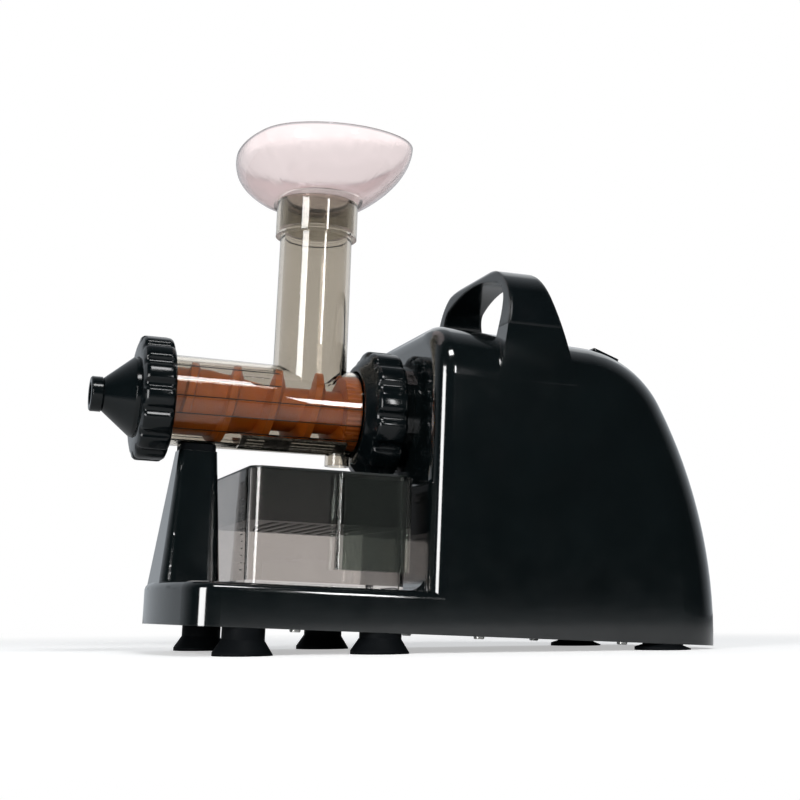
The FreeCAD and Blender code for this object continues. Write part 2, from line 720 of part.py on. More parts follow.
def foot_pair(label, x, rise):
    pair = joined(label + "_blank", "Part::MultiFuse",
                  foot(label + "_near", x, -foot_y, rise),
                  foot(label + "_far", x, foot_y, rise))
    keep(joined(label + "_cut", "Part::Cut", pair, floor_block), label)


foot_pair("front_feet", -s.front_foot_x, s.foot_flare_rise)
foot_pair("middle_feet", s.middle_foot_x, s.foot_flare_rise)
foot_pair("rear_feet", s.rear_foot_x, as_size(3.4))

# Drive boss and the post's saddle
keep(turned("drive_boss", [
    (s.seat_reach + 0.1, 14), (s.seat_reach + 0.1, s.flange_od / 2 - 1),
    (s.seat_reach + 1.1, s.flange_od / 2), (s.boss_reach, s.flange_od / 2),
    (s.boss_reach, 14)]), "drive_boss")
saddle = new_body("saddle_block")
pad(saddle, "saddle_pad",
    rounded(sketch_on(saddle, "saddle_plan", "XY", -post_top),
            -s.post_top_left + 1, -s.post_top_right - 1,
            -s.post_top_depth / 2 + 0.5, s.post_top_depth / 2 - 0.5, 4),
    s.saddle_thick + s.saddle_hold)
saddle_cut = new_body("saddle_cut")
pad(saddle_cut, "saddle_cut_block",
    circle_on(sketch_on(saddle_cut, "saddle_circle", "YZ", -s.barrel_reach), 0, 0,
              s.barrel_od + 2 * s.slip_fit), s.barrel_reach)
keep(joined("post_saddle_cut", "Part::Cut", saddle, saddle_cut), "post_saddle")


# The barrel with its chute, and what turns inside

bore = s.barrel_bore / 2
flange_face = s.seat_reach - s.flange_depth
barrel_skin = turned("barrel_skin", [
    (-s.barrel_reach, 0), (-s.barrel_reach, s.barrel_od / 2),
    (flange_face, s.barrel_end_od / 2), (flange_face, s.flange_od / 2),
    (s.seat_reach, s.flange_od / 2), (s.seat_reach, 0)])
chute_skin = turned("chute_skin", [
    (0, 0), (s.chute_od / 2, 0), (s.chute_top_od / 2, s.collar_low),
    (s.collar_od / 2, s.collar_low), (s.collar_od / 2, s.collar_top), (0, s.collar_top)],
    "V_Axis")
spout_skin = new_body("spout_skin")
pad(spout_skin, "spout_block",
    circle_on(sketch_on(spout_skin, "spout_ring", "XY", -s.spout_drop), s.spout_shift, 0,
              s.spout_od), s.spout_drop - bore)
stub = as_size(9)
barrel_room = turned("barrel_room", [
    (-s.barrel_reach - 1, 0), (-s.barrel_reach - 1, bore), (flange_face, bore),
    (flange_face, stub + s.running_fit), (s.seat_reach + 1, stub + s.running_fit),
    (s.seat_reach + 1, 0)])
collar_bore = s.chute_od / 2 + 0.5
chute_room = turned("chute_room", [
    (0, 0), (s.chute_bore / 2, 0), (s.chute_bore / 2, s.collar_low + 2),
    (collar_bore, s.collar_low + 2), (collar_bore, s.collar_top + 1), (0, s.collar_top + 1)],
    "V_Axis")
spout_room = new_body("spout_room")
pad(spout_room, "spout_hole",
    circle_on(sketch_on(spout_room, "spout_hole_ring", "XY", -s.spout_drop - 1),
              s.spout_shift, 0, s.spout_bore), s.spout_drop + 1 - bore / 2)


def screen_sector(name, radius, half_width, gap):
    """The piece of a cylinder that the juice screen lies in."""
    half = s.screen_length / 2 - gap
    rod = new_body(name + "_rod")
    pad(rod, name + "_rod_block",
        circle_on(sketch_on(rod, name + "_rod_circle", "YZ", s.screen_shift - half), 0, 0,
                  2 * radius), 2 * half)
    box = new_body(name + "_box")
    pad(box, name + "_box_block",
        rounded(sketch_on(box, name + "_box_plan", "XY", -s.barrel_od),
                s.screen_shift - half, s.screen_shift + half, -half_width, half_width, 1),
        s.barrel_od - bore / 2)
    return joined(name, "Part::Common", rod, box)


screen_half = as_size(17)
screen_out = bore + s.screen_wall
barrel_solid = joined("barrel_solid", "Part::MultiFuse", barrel_skin, chute_skin, spout_skin)
barrel_void = joined("barrel_void", "Part::MultiFuse", barrel_room, chute_room, spout_room,
                     screen_sector("screen_recess", screen_out + 0.05, screen_half, as_size(0)))
keep(joined("auger_barrel_cut", "Part::Cut", barrel_solid, barrel_void), "auger_barrel")

screen_bore = new_body("screen_bore")
pad(screen_bore, "screen_bore_block",
    circle_on(sketch_on(screen_bore, "screen_bore_circle", "YZ", -s.barrel_reach), 0, 0,
              s.barrel_bore), 2 * s.barrel_reach)
screen_blank = joined("screen_blank", "Part::Cut",
                      screen_sector("screen_sheet", screen_out, screen_half - 0.2, as_size(0.2)),
                      screen_bore)
slots = new_body("screen_slots")
first_row = as_size(-15)
half_slot = s.slot_width / 2


def slot_rows(name, left, length):
    """Rows of slots that run along the barrel."""
    low = s.screen_shift + left
    plan = outline(sketch_on(slots, name + "_plan", "XY", -s.barrel_od), [
        (low, first_row - half_slot), (low + length, first_row - half_slot),
        (low + length, first_row + half_slot), (low, first_row + half_slot)])
    return pad(slots, name, plan, s.barrel_od)


slot_rows("long_slot", -2, 30)
row_pattern(slots, "long_slot_row", doc.getObject("long_slot"), "Y_Axis", 10 * s.screen_row, 11)
slots_short = new_body("screen_slots_short")
short_plan = outline(sketch_on(slots_short, "short_slot_plan", "XY", -s.barrel_od), [
    (s.screen_shift - 32, first_row - half_slot), (s.screen_shift - 20, first_row - half_slot),
    (s.screen_shift - 20, first_row + half_slot), (s.screen_shift - 32, first_row + half_slot)])
pad(slots_short, "short_slot", short_plan, s.barrel_od)
row_pattern(slots_short, "short_slot_row", doc.getObject("short_slot"), "Y_Axis",
            10 * s.screen_row, 11)
all_slots = joined("all_slots", "Part::MultiFuse", slots, slots_short)
keep(joined("juice_screen_cut", "Part::Cut", screen_blank, all_slots), "juice_screen")

auger_left = s.barrel_reach - s.auger_gap
auger_right = as_size(31)
auger = new_body("auger")
core = outline(sketch_on(auger, "auger_profile", "XZ"), [
    (-auger_left, 0), (-auger_left, s.auger_root / 2), (-s.auger_swell, s.auger_root / 2),
    (-s.auger_waist, s.auger_core / 2 + 0.5), (auger_right, s.auger_core / 2),
    (auger_right, 0)])
spin(auger, "auger_turned", core, "H_Axis")
flight_left = s.barrel_reach - s.flight_gap
flight_low = s.auger_core / 2 - 1.5
flight_profile = outline(sketch_on(auger, "flight_profile", "XZ"), [
    (-flight_left, flight_low), (-flight_left + s.flight_flank, s.auger_od / 2),
    (-flight_left + s.flight_flank + s.flight_width, s.auger_od / 2),
    (-flight_left + 2 * s.flight_flank + s.flight_width, flight_low)])
flight = auger.newObject("PartDesign::AdditiveHelix", "flight")
flight.Profile = flight_profile
flight.ReferenceAxis = (flight_profile, ["H_Axis"])
flight.Mode = 0
flight.LeftHanded = True
bind(flight, "Pitch", s.auger_pitch)
bind(flight, "Height", flight_left + auger_right - s.flight_width - 2 * s.flight_flank - 0.5)
keep(auger, "auger", turn=FreeCAD.Rotation(V(1, 0, 0), s.auger_turn.mm))

shaft_body = new_body("auger_shaft")
spin(shaft_body, "stub_turn", outline(sketch_on(shaft_body, "stub_profile", "XZ"), [
    (auger_right, 0), (auger_right, stub), (s.seat_reach + 2, stub), (s.seat_reach + 2, 0)]),
    "H_Axis")
hex_sketch = sketch_on(shaft_body, "hex_profile", "YZ", s.seat_reach + 1)


def hexagon(sketch, width):
    """A hexagon by its width over flats, with two flats level."""
    flat = width / 2
    point = width / math.sqrt(3)
    half_side = point / 2
    return outline(sketch, [(-half_side, -flat), (half_side, -flat), (point, 0),
                            (half_side, flat), (-half_side, flat), (-point, 0)])


pad(shaft_body, "hex_block", hexagon(hex_sketch, s.hex_width), 20)
keep(shaft_body, "auger_shaft")
keep(turned("barrel_seal", [
    (auger_right + 3.5, stub + s.running_fit), (auger_right + 3.5, stub + 7),
    (flange_face, stub + 7), (flange_face, stub + s.running_fit)]), "barrel_seal")


def gripped(label, profile, left, width, low, high, count, spread):
    """A ring turned to a profile, with grips padded around it."""
    body = new_body(label)
    spin(body, label + "_turn", outline(sketch_on(body, label + "_profile", "XZ"), profile),
         "H_Axis")
    half = math.radians(spread) / 2
    tooth = outline(sketch_on(body, label + "_grip", "YZ", left), [
        (low * math.sin(half), low * math.cos(half)),
        (high * (math.sin(half) * 0.84), high * math.cos(half * 0.84)),
        (-high * (math.sin(half) * 0.84), high * math.cos(half * 0.84)),
        (-low * math.sin(half), low * math.cos(half))])
    grip = pad(body, label + "_grip_block", tooth, width)
    ring_pattern(body, label + "_grips", grip, "X_Axis", count)
    return body


barrel_fit = s.barrel_od / 2 + s.running_fit
cone_fit = s.cone_od / 2 + s.running_fit
lip_face = nut_left - s.nut_lip
keep(gripped("end_nut", [
    (-nut_left, cone_fit), (-nut_left, s.nut_body_od / 2 - 2),
    (-nut_left + 2, s.nut_body_od / 2), (-nut_left + s.nut_width - 1, s.nut_body_od / 2),
    (-nut_left + s.nut_width, s.nut_body_od / 2 - 1), (-nut_left + s.nut_width, barrel_fit),
    (-lip_face - 0.05, barrel_fit), (-lip_face - 0.05, cone_fit)],
    -nut_left + 1, s.nut_width - 1.5, s.nut_body_od / 2 - 1, s.nut_od / 2, 14, 18), "end_nut")

keep(turned("end_cone", [
    (-s.barrel_reach - 0.02, bore - 2), (-s.barrel_reach - 0.02, s.barrel_od / 2 - 0.3),
    (-lip_face, s.barrel_od / 2 - 0.3), (-lip_face, s.cone_od / 2),
    (-nut_left - 2.5, s.cone_od / 2 - 0.5), (-cone_reach, s.cone_tip_od / 2),
    (-cone_reach, 9), (-cone_reach - 4.5, 9), (-cone_reach - 4.5, s.nozzle_bore / 2),
    (-cone_reach, s.nozzle_bore / 2), (-nut_left - 2, bore - 5)]), "end_cone")
nozzle_in = as_size(9) + s.running_fit
keep(turned("pulp_nozzle", [
    (-nozzle_reach, s.nozzle_bore / 2), (-nozzle_reach, s.nozzle_od / 2 - 0.8),
    (-nozzle_reach + 0.8, s.nozzle_od / 2), (-cone_reach - 0.9, s.nozzle_od / 2),
    (-cone_reach - 0.1, s.nozzle_od / 2 - 0.8), (-cone_reach - 0.1, nozzle_in),
    (-cone_reach - 4.6, nozzle_in), (-cone_reach - 4.6, s.nozzle_bore / 2)]), "pulp_nozzle")

flange_fit = s.flange_od / 2 + s.running_fit
lock_right = s.lock_left + s.lock_width
keep(gripped("lock_nut", [
    (s.lock_left - s.skirt_length, s.barrel_end_od / 2 + 1.2),
    (s.lock_left - s.skirt_length, s.barrel_end_od / 2 + 4.5),
    (s.lock_left, s.lock_body_od / 2 - 3), (s.lock_left, s.lock_body_od / 2),
    (lock_right, s.lock_body_od / 2), (lock_right, flange_fit),
    (flange_face - 0.05, flange_fit), (flange_face - 0.05, s.barrel_end_od / 2 + 1.2)],
    s.lock_left, s.lock_width, s.lock_body_od / 2 - 1, s.lock_od / 2, 12, 23), "lock_nut")


# The hopper: an oval bowl, lofted from its floor to its rim, on an upright neck

def oval(body, name, height, scale, wall, share):
    """One level of the bowl: an oval of arcs, drawn in by a wall."""
    x = s.bowl_shift * share
    y = s.bowl_back * share
    a = s.bowl_half_width * scale - wall
    b = s.bowl_half_depth * scale - wall
    return outline(sketch_on(body, name, "XY", height), [
        (x + a, y - 1), (x + a, y + 1, "arc"), (x + a * 0.891, y + b * 0.574, "arc"),
        (x + a * 0.574, y + b * 0.891, "arc"), (x - a * 0.574, y + b * 0.891, "arc"),
        (x - a * 0.891, y + b * 0.574, "arc"), (x - a, y + 1), (x - a, y - 1, "arc"),
        (x - a * 0.891, y - b * 0.574, "arc"), (x - a * 0.574, y - b * 0.891, "arc"),
        (x + a * 0.574, y - b * 0.891, "arc"), (x + a * 0.891, y - b * 0.574, "arc")])


def bowl(name, wall):
    """The bowl's outside, or with a wall its inside."""
    body = new_body(name)
    floor = s.collar_top + s.slip_fit + wall
    rise = s.bowl_rise - wall
    levels = []
    for step, (share, scale) in enumerate(((0, 0.5), (0.1, 0.62), (0.25, 0.74), (0.5, 0.886),
                                           (0.75, 0.972), (1, 1))):
        levels.append(oval(body, "%s_level_%d" % (name, step), floor + rise * share, scale,
                           wall, share))
    loft = body.newObject("PartDesign::AdditiveLoft", name + "_loft")
    loft.Profile = levels[0]
    loft.Sections = levels[1:]
    return body


bowl_outside = bowl("bowl_outside", as_size(0))
bowl_inside = bowl("bowl_inside", s.hopper_wall)
neck = turned("neck", [
    (0, s.collar_top - s.neck_length), (collar_bore - s.slip_fit, s.collar_top - s.neck_length),
    (collar_bore - s.slip_fit, s.collar_top + 5), (0, s.collar_top + 5)], "V_Axis")
neck_room = turned("neck_room", [
    (0, s.collar_top - s.neck_length - 1), (s.chute_bore / 2, s.collar_top - s.neck_length - 1),
    (s.chute_bore / 2, s.collar_top + 12), (0, s.collar_top + 12)], "V_Axis")
hopper_solid = joined("hopper_solid", "Part::MultiFuse", bowl_outside, neck)
hopper_void = joined("hopper_void", "Part::MultiFuse", bowl_inside, neck_room)
keep(joined("hopper_cut", "Part::Cut", hopper_solid, hopper_void), "hopper")


# The juice jug in the bay, with its strainer

jug_rise = s.base_high - s.jug_top
jug_grow = jug_rise * math.tan(math.radians(s.jug_draft.mm))
jug = new_body("juice_jug")
jug_foot = -s.base_high + 0.05
pad(jug, "jug_block",
    rounded(sketch_on(jug, "jug_plan", "XY", jug_foot), -s.jug_left, s.jug_right,
            -s.jug_front, s.jug_back, s.jug_corner), jug_rise - 0.05, draft=s.jug_draft)
grip_plan = outline(sketch_on(jug, "grip_plan", "XY", -s.grip_low), [
    (s.grip_x0, -s.jug_front + 1), (s.grip_x0 - 1.5, -s.jug_front - s.grip_depth + 3, "arc"),
    (s.grip_x0 + 2, -s.jug_front - s.grip_depth),
    (s.grip_x1 - 2, -s.jug_front - s.grip_depth, "arc"),
    (s.grip_x1 + 1.5, -s.jug_front - s.grip_depth + 3), (s.grip_x1, -s.jug_front + 1)])
pad(jug, "grip_block", grip_plan, s.grip_low - s.jug_top - 1)
w = s.jug_wall
pocket(jug, "jug_room",
       rounded(sketch_on(jug, "jug_room_plan", "XY", -s.jug_top), -s.jug_left - jug_grow + w,
               s.jug_right + jug_grow - w, -s.jug_front - jug_grow + w,
               s.jug_back + jug_grow - w, s.jug_corner - w + jug_grow),
       jug_rise - w, draft=-s.jug_draft)
pocket(jug, "grip_room",
       outline(sketch_on(jug, "grip_room_plan", "XY", -s.grip_low), [
           (s.grip_x0 + w, -s.jug_front - w), (s.grip_x0 + w, -s.jug_front - s.grip_depth + w),
           (s.grip_x1 - w, -s.jug_front - s.grip_depth + w), (s.grip_x1 - w, -s.jug_front - w)]),
       s.grip_low - s.jug_top - 1 - w, reverse=True)
keep(jug, "juice_jug")

sieve = new_body("strainer_frame")
room_x0 = -s.jug_left - jug_grow + w + s.slip_fit
room_x1 = s.jug_right + jug_grow - w - s.slip_fit
room_y0 = -s.jug_front - jug_grow + w + s.slip_fit
room_y1 = s.jug_back + jug_grow - w - s.slip_fit
sieve_corner = s.jug_corner + jug_grow - w
t = s.sieve_wall
pad(sieve, "sieve_rim",
    rounded(sketch_on(sieve, "sieve_rim_plan", "XY", -s.jug_top), room_x0 - 1.6, room_x1 + 1.6,
            room_y0 - 1.6, room_y1 + 1.6, s.jug_corner), t)
pad(sieve, "sieve_block",
    rounded(sketch_on(sieve, "sieve_plan", "XY", -s.jug_top), room_x0, room_x1, room_y0, room_y1,
            sieve_corner), s.sieve_depth, reverse=True, draft=-s.jug_draft)
pocket(sieve, "sieve_room",
       rounded(sketch_on(sieve, "sieve_room_plan", "XY", -s.jug_top + t), room_x0 + t,
               room_x1 - t, room_y0 + t, room_y1 - t, sieve_corner - t),
       s.sieve_depth, draft=-s.jug_draft)
pocket(sieve, "sieve_window",
       rounded(sketch_on(sieve, "sieve_window_plan", "XY", -s.jug_top), room_x0 + 9,
               room_x1 - 9, room_y0 + 9, room_y1 - 9, 4), s.sieve_depth + 5)
keep(sieve, "strainer_frame")

net = new_body("strainer_net")
pad(net, "net_sheet",
    rounded(sketch_on(net, "net_plan", "XY", -s.jug_top - s.sieve_depth), room_x0 + 9,
            room_x1 - 9, room_y0 + 9, room_y1 - 9, 4), 0.8)
hole_width = 5
hole_pitch = 9
hole_count = 8
hole_start = (room_x0 + room_x1 - hole_width - (hole_count - 1) * hole_pitch) / 2
net_hole = pocket(net, "net_hole",
                  rounded(sketch_on(net, "net_hole_plan", "XY", -s.jug_top - s.sieve_depth - 1),
                          hole_start, hole_start + hole_width, room_y0 + 14, room_y1 - 14, 1.5),
                  3, reverse=True)
row_pattern(net, "net_holes", net_hole, "X_Axis", (hole_count - 1) * hole_pitch, hole_count)
keep(net, "strainer_net")


# The power switch and the cord gland, each in its own tilted frame

def keep_at(thing, label, place):
    thing.Label = label
    thing.Placement = MACHINE.multiply(place)
    parts.append(thing)
    return thing


bezel_skin = switch_block("bezel_sleeve", s.slip_fit / 2, as_size(-8), as_size(1))
bezel_flange = switch_block("bezel_flange", as_size(-2), as_size(0.15), as_size(1.7))
bezel_room = switch_block("bezel_room", as_size(1.6), as_size(-9), as_size(3))
bezel_solid = joined("bezel_solid", "Part::MultiFuse", bezel_skin, bezel_flange)
keep_at(joined("switch_bezel_cut", "Part::Cut", bezel_solid, bezel_room), "switch_bezel", SWITCH)
rocker = new_body("power_rocker")
rocker_half = s.switch_length / 2 - 2.4
rocker_wide = s.switch_width / 2 - 2.2
rocker_profile = outline(sketch_on(rocker, "rocker_profile", "YZ", -rocker_wide), [
    (-rocker_half, 0), (-rocker_half + 1, -6), (rocker_half - 1, -6), (rocker_half, 0),
    (rocker_half, 2.2), (rocker_half - 1, 2.4), (0, 1.3), (-rocker_half + 1, 2.4),
    (-rocker_half, 2.2)])
pad(rocker, "rocker_block", rocker_profile, 2 * rocker_wide)
keep_at(rocker, "power_rocker", SWITCH)
keep_at(turned("cord_gland", [
    (s.cord_od / 2, -9), (s.gland_od / 2 - 0.1, -9), (s.gland_od / 2 - 0.1, 0.3),
    (s.gland_od / 2 + 2.5, 0.3), (s.gland_od / 2 + 2, 1.6), (s.cord_od / 2 + 1.6, 3),
    (s.cord_od / 2, 3)], "V_Axis"), "cord_gland", GLAND)


# The gears: a motor pinion, an idler and the output wheel, stacked on the middle plane

idler_drop = s.second_module * (s.pinion_teeth + s.wheel_teeth) / 2
motor_drop = idler_drop + s.first_module * (s.pinion_teeth + s.wheel_teeth) / 2
addendum = 0.85
dedendum = 1.15
flank = math.tan(math.radians(20))


def toothed(body, name, left, width, module, teeth, bore, half_step=False):
    """Spur teeth on a disc; half_step puts a gap, and not a tooth, at the top."""
    pitch = module * teeth / 2
    root = pitch - module * dedendum
    tip = pitch + module * addendum
    thick = module * (math.pi / 4 * 0.8)
    foot_half = thick + module * (dedendum * flank)
    tip_half = thick - module * (addendum * flank)
    disc = sketch_on(body, name + "_disc", "YZ", left)
    circle_on(disc, 0, 0, 2 * root)
    circle_on(disc, 0, 0, bore)
    pad(body, name + "_disc_block", disc, width)
    tooth = outline(sketch_on(body, name + "_tooth", "YZ", left), [
        (foot_half, root - module * 0.3), (foot_half, root), (tip_half, tip),
        (-tip_half, tip), (-foot_half, root), (-foot_half, root - module * 0.3)])
    if half_step:
        turn = 180.0 / teeth.mm
        tooth.AttachmentOffset = FreeCAD.Placement(
            tooth.AttachmentOffset.Base, FreeCAD.Rotation(V(0, 0, 1), turn))
    block = pad(body, name + "_tooth_block", tooth, width)
    ring_pattern(body, name + "_teeth", block, "X_Axis", teeth.mm)
    return tip


case_left = s.boss_reach + s.shell_wall
lid_left = case_left + s.case_length
case_right = lid_left + s.case_lid
first_left = lid_left - 1 - s.wheel_face
second_left = first_left - 7 - s.wheel_face
pinion_left = first_left - 1.5

motor_pinion = new_body("motor_pinion")
toothed(motor_pinion, "motor_pinion", pinion_left, s.wheel_face + 2.5, s.first_module,
        s.pinion_teeth, s.axle_od)
keep(motor_pinion, "motor_pinion", z=-motor_drop.mm)

idler_wheel = new_body("idler_wheel")
toothed(idler_wheel, "idler_wheel", first_left, s.wheel_face, s.first_module, s.wheel_teeth,
        s.axle_od + 2 * s.running_fit, half_step=True)
idler_pinion = new_body("idler_pinion")
toothed(idler_pinion, "idler_pinion", second_left - 1.5, first_left - second_left + 2.5,
        s.second_module, s.pinion_teeth, s.axle_od + 2 * s.running_fit)
keep(joined("idler_gear_pair", "Part::MultiFuse", idler_wheel, idler_pinion), "idler_gear",
     z=-idler_drop.mm)
output_gear = new_body("output_gear")
toothed(output_gear, "output_gear", second_left, s.wheel_face, s.second_module, s.wheel_teeth,
        s.shaft_od - 1, half_step=True)
keep(output_gear, "output_gear")

keep(turned("idler_axle", [
    (case_left + 0.5, 0), (case_left + 0.5, s.axle_od / 2), (case_right - 0.5, s.axle_od / 2),
    (case_right - 0.5, 0)]), "idler_axle", z=-idler_drop.mm)

socket_depth = as_size(21)
shaft_left = s.seat_reach + 2.6
journal_left = second_left + s.wheel_face + 2
shaft_right = case_right + 3.6
output_turned = turned("output_turned", [
    (shaft_left, 0), (shaft_left, s.shaft_od / 2), (second_left - 1, s.shaft_od / 2),
    (second_left - 1, s.shaft_od / 2 - 0.5), (journal_left, s.shaft_od / 2 - 0.5),
    (journal_left, s.journal_od / 2), (shaft_right, s.journal_od / 2), (shaft_right, 0)])
socket = new_body("output_socket")
pad(socket, "output_socket_block",
    hexagon(sketch_on(socket, "output_socket_plan", "YZ", shaft_left - 1),
            s.hex_width + 2 * s.running_fit), socket_depth)
keep(joined("output_shaft_cut", "Part::Cut", output_turned, socket), "output_shaft")

boss_bore = as_size(14)
journal_bearing = s.journal_od / 2 + 3.5
front_bearing = turned("front_bearing", [
    (s.seat_reach + 6, s.shaft_od / 2 + s.running_fit), (s.seat_reach + 6, boss_bore),
    (s.seat_reach + 14, boss_bore), (s.seat_reach + 14, s.shaft_od / 2 + s.running_fit)])
inner_bearing = turned("inner_bearing", [
    (lid_left + 0.2, s.journal_od / 2 + s.running_fit), (lid_left + 0.2, journal_bearing),
    (shaft_right, journal_bearing), (shaft_right, s.journal_od / 2 + s.running_fit)])
keep(joined("output_bearings_group", "Part::MultiFuse", front_bearing, inner_bearing),
     "output_bearings")


def case_block(name, left, length, wall):
    """The gear case's plan, drawn in by a wall."""
    body = new_body(name)
    pad(body, name + "_block",
        rounded(sketch_on(body, name + "_plan", "YZ", left), wall - s.case_half,
                s.case_half - wall, wall - motor_drop - 12, s.case_half - wall, 20 - wall),
        length)
    return body


def bored(name, left, length, z, diameter):
    """A plain round pin along the barrel axis."""
    body = new_body(name)
    pad(body, name + "_block",
        circle_on(sketch_on(body, name + "_circle", "YZ", left), 0, z, diameter), length)
    return body


case_room = joined(
    "case_room", "Part::MultiFuse",
    case_block("case_hollow", case_left + s.case_wall, s.case_length, s.case_wall),
    bored("case_shaft_hole", case_left - 1, s.case_wall + 2, 0, s.shaft_od + 2),
    bored("case_axle_hole", case_left - 1, s.case_wall + 2, -idler_drop, s.axle_od))
keep(joined("gear_case_cut", "Part::Cut",
            case_block("case_skin", case_left, s.case_length, as_size(0)), case_room),
     "gear_case")
lid_solid = joined(
    "lid_solid", "Part::MultiFuse", case_block("lid_plate", lid_left, s.case_lid, as_size(0)),
    bored("lid_boss", lid_left, s.case_lid + 6, 0, 2 * journal_bearing + 6))
lid_holes = joined(
    "lid_holes", "Part::MultiFuse",
    bored("lid_bearing_hole", lid_left - 1, s.case_lid + 4.8, 0, 2 * journal_bearing),
    bored("lid_axle_hole", lid_left - 1, s.case_lid + 2, -idler_drop, s.axle_od),
    bored("lid_shaft_hole", lid_left - 1, s.case_lid + 2, -motor_drop, s.axle_od + 4))
keep(joined("gear_lid_cut", "Part::Cut", lid_solid, lid_holes), "gear_lid")


# The motor: stator, windings, end plates, rotor, shaft and fan

stator_left = case_right + s.plate_thick + s.coil_reach + 2
stator_right = stator_left + s.motor_length
plate_right = stator_right + s.coil_reach + 2
bearing_od = s.axle_od + 8
stator_bore = s.rotor_od + 2 * s.air_gap
slot_top = s.motor_od / 2 - 8
slot_half = as_size(4.5)

stator = new_body("motor_stator")
stator_plan = sketch_on(stator, "stator_plan", "YZ", stator_left)
circle_on(stator_plan, 0, 0, s.motor_od)
circle_on(stator_plan, 0, 0, stator_bore)
pad(stator, "stator_block", stator_plan, s.motor_length)
slot_profile = outline(sketch_on(stator, "stator_slot_plan", "YZ", stator_left), [
    (-slot_half, stator_bore / 2 - 3), (slot_half, stator_bore / 2 - 3), (slot_half, slot_top),
    (-slot_half, slot_top)])
stator_slot = pocket(stator, "stator_slot", slot_profile, s.motor_length, reverse=True)
ring_pattern(stator, "stator_slots", stator_slot, "X_Axis", 6)
keep(stator, "motor_stator", z=-motor_drop.mm)

windings = new_body("motor_windings")
coil_low = stator_bore / 2 + 1
coil_high = slot_top - 0.2
for name, left in (("coil_left", stator_left - s.coil_reach), ("coil_right", stator_right)):
    coil_plan = sketch_on(windings, name + "_plan", "YZ", left)
    circle_on(coil_plan, 0, 0, 2 * coil_high)
    circle_on(coil_plan, 0, 0, 2 * coil_low)
    pad(windings, name, coil_plan, s.coil_reach)
coil_profile = outline(sketch_on(windings, "coil_plan", "YZ", stator_left), [
    (0.2 - slot_half, coil_low + 0.6), (slot_half - 0.2, coil_low + 0.6),
    (slot_half - 0.2, coil_high - 0.5), (0.2 - slot_half, coil_high - 0.5)])
coil_bar = pad(windings, "coil_bar", coil_profile, s.motor_length)
ring_pattern(windings, "coil_bars", coil_bar, "X_Axis", 6)
keep(windings, "motor_windings", z=-motor_drop.mm)


def end_plate(name, face, rim, stator_face):
    """A cup from its outer face to the stator, seated on its rim."""
    bore = bearing_od / 2
    return turned(name, [
        (face, bore), (face, s.motor_od / 2), (stator_face, s.motor_od / 2),
        (stator_face, s.motor_od / 2 - 3), (rim, s.motor_od / 2 - 3), (rim, bore)])


left_plate = end_plate("left_plate", case_right, case_right + s.plate_thick, stator_left)
right_plate = end_plate("right_plate", plate_right + s.plate_thick, plate_right, stator_right)
keep(joined("end_plates_group", "Part::MultiFuse", left_plate, right_plate),
     "motor_end_plates", z=-motor_drop.mm)


def motor_bearing(name, left):
    inner = s.axle_od / 2 + s.running_fit
    return turned(name, [
        (left, inner), (left, bearing_od / 2), (left + s.plate_thick, bearing_od / 2),
        (left + s.plate_thick, inner)])


keep(joined("motor_bearings_group", "Part::MultiFuse",
            motor_bearing("left_bearing", case_right),
            motor_bearing("right_bearing", plate_right)), "motor_bearings", z=-motor_drop.mm)

fan_left = plate_right + s.plate_thick + 3
fan_width = as_size(11)
keep(turned("motor_shaft", [
    (pinion_left - 1, 0), (pinion_left - 1, s.axle_od / 2), (fan_left + fan_width + 2,
                                                            s.axle_od / 2),
    (fan_left + fan_width + 2, 0)]), "motor_shaft", z=-motor_drop.mm)
keep(turned("rotor_core", [
    (stator_left + 1, s.axle_od / 2), (stator_left + 1, s.rotor_od / 2),
    (stator_right - 1, s.rotor_od / 2), (stator_right - 1, s.axle_od / 2)]),
    "rotor_core", z=-motor_drop.mm)

fan = new_body("cooling_fan")
spin(fan, "fan_hub", outline(sketch_on(fan, "fan_hub_profile", "XZ"), [
    (fan_left, s.axle_od / 2), (fan_left, s.fan_od / 2), (fan_left + 1.6, s.fan_od / 2),
    (fan_left + 1.6, s.axle_od), (fan_left + fan_width, s.axle_od),
    (fan_left + fan_width, s.axle_od / 2)]), "H_Axis")
blade_plan = outline(sketch_on(fan, "fan_blade_plan", "YZ", fan_left + 1), [
    (0, s.axle_od - 1), (1.5, s.axle_od - 1, "arc"), (5, s.fan_od / 2 - 1),
    (3.4, s.fan_od / 2 - 1), (2.2, s.fan_od / 4)])
fan_blade = pad(fan, "fan_blade", blade_plan, fan_width - 2)
ring_pattern(fan, "fan_blades", fan_blade, "X_Axis", 9)
keep(fan, "cooling_fan", z=-motor_drop.mm)

cradle = new_body("cradle_pad")
cradle_low = s.base_low - s.cover_thick
pad(cradle, "cradle_block",
    rounded(sketch_on(cradle, "cradle_plan", "XY", -cradle_low), stator_left + 20,
            stator_right - 20, -s.motor_od / 2 + 9, s.motor_od / 2 - 9, 4),
    cradle_low - motor_drop - s.motor_od / 2 + 6)
cradle_cut = bored("cradle_cut", stator_left, s.motor_length, -motor_drop, s.motor_od)
keep(joined("motor_cradle_cut", "Part::Cut", cradle, cradle_cut), "motor_cradle")


# Build, check and write every sub-part

doc.recompute()
for thing in doc.Objects:
    if "Invalid" in thing.State or "Error" in thing.State:
        raise SystemExit("%s did not build: %s" % (thing.Name, thing.State))
os.makedirs("parts", exist_ok=True)
for thing in parts:
    if thing.Shape.isNull() or not thing.Shape.isValid():
        raise SystemExit("%s has no valid shape" % thing.Label)
for thing in parts:
    thing.Shape.exportStep(os.path.join("parts", thing.Label + ".step"))
print("%d sub-parts written" % len(parts))
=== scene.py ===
"""Looks of the cold press juicer: materials, nuts, small details, light and camera."""

import json
import math

import bpy
from mathutils import Matrix, Vector


